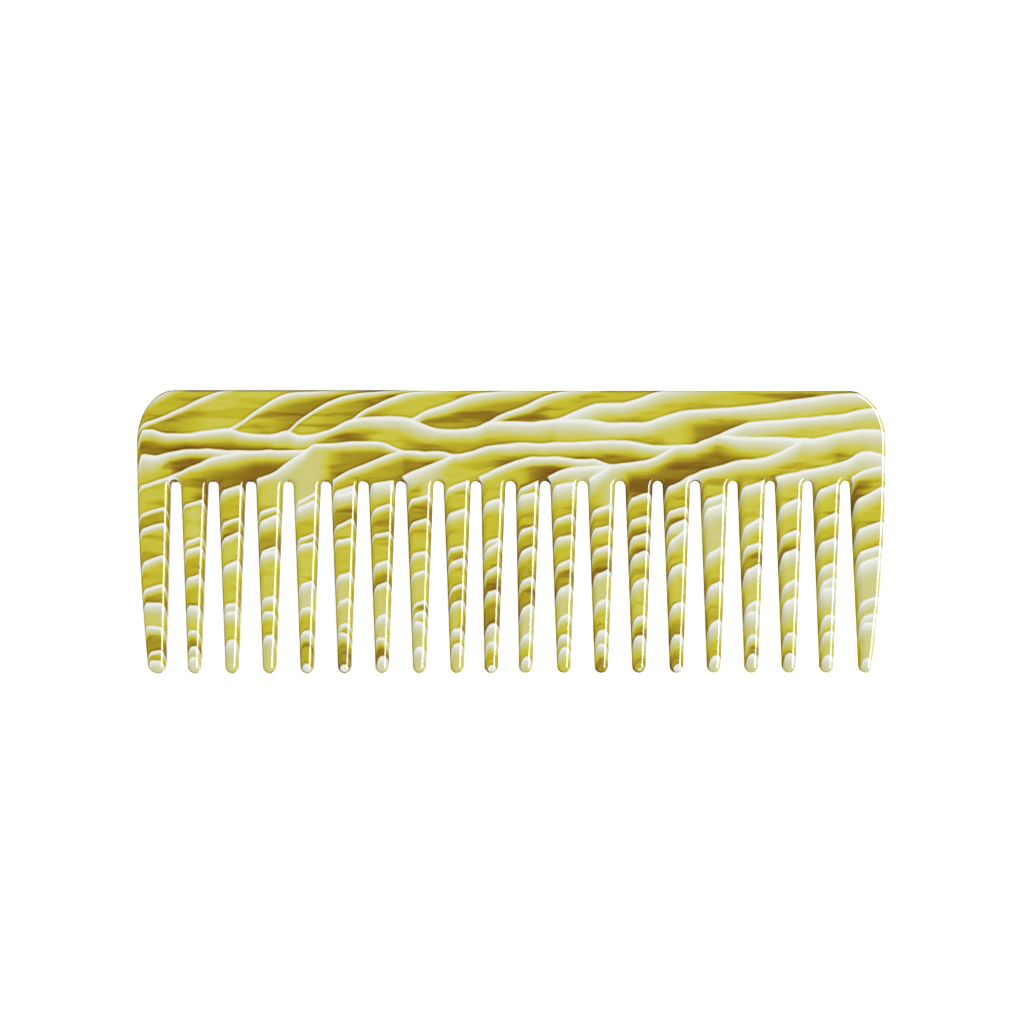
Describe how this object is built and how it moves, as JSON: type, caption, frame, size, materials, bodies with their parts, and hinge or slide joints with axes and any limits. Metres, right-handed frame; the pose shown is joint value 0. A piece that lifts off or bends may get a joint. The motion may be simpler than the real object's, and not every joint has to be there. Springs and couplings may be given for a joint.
{
  "type": "wide tooth comb",
  "caption": "Flat hair comb with a straight back, rounded corners and widely spaced, tapering, round-tipped teeth, sawn from marbled acetate sheet.",
  "frame": {"origin": "centre of the comb's outline, on the lower face that it lies on", "axes": "+X along the comb's length, +Y from the teeth towards the back's top edge, +Z out of the upper face, through the sheet's thickness"},
  "size_m": [0.15, 0.0566, 0.004],
  "materials": {
    "marbled_acetate": "polished"
  },
  "bodies": {
    "root": {"back": "marbled_acetate", "guard_tooth_left": "marbled_acetate", "tooth_02": "marbled_acetate", "tooth_03": "marbled_acetate", "tooth_04": "marbled_acetate", "tooth_05": "marbled_acetate", "tooth_06": "marbled_acetate", "tooth_07": "marbled_acetate", "tooth_08": "marbled_acetate", "tooth_09": "marbled_acetate", "tooth_10": "marbled_acetate", "tooth_11": "marbled_acetate", "tooth_12": "marbled_acetate", "tooth_13": "marbled_acetate", "tooth_14": "marbled_acetate", "tooth_15": "marbled_acetate", "tooth_16": "marbled_acetate", "tooth_17": "marbled_acetate", "tooth_18": "marbled_acetate", "tooth_19": "marbled_acetate", "guard_tooth_right": "marbled_acetate"}
  },
  "joints": []
}
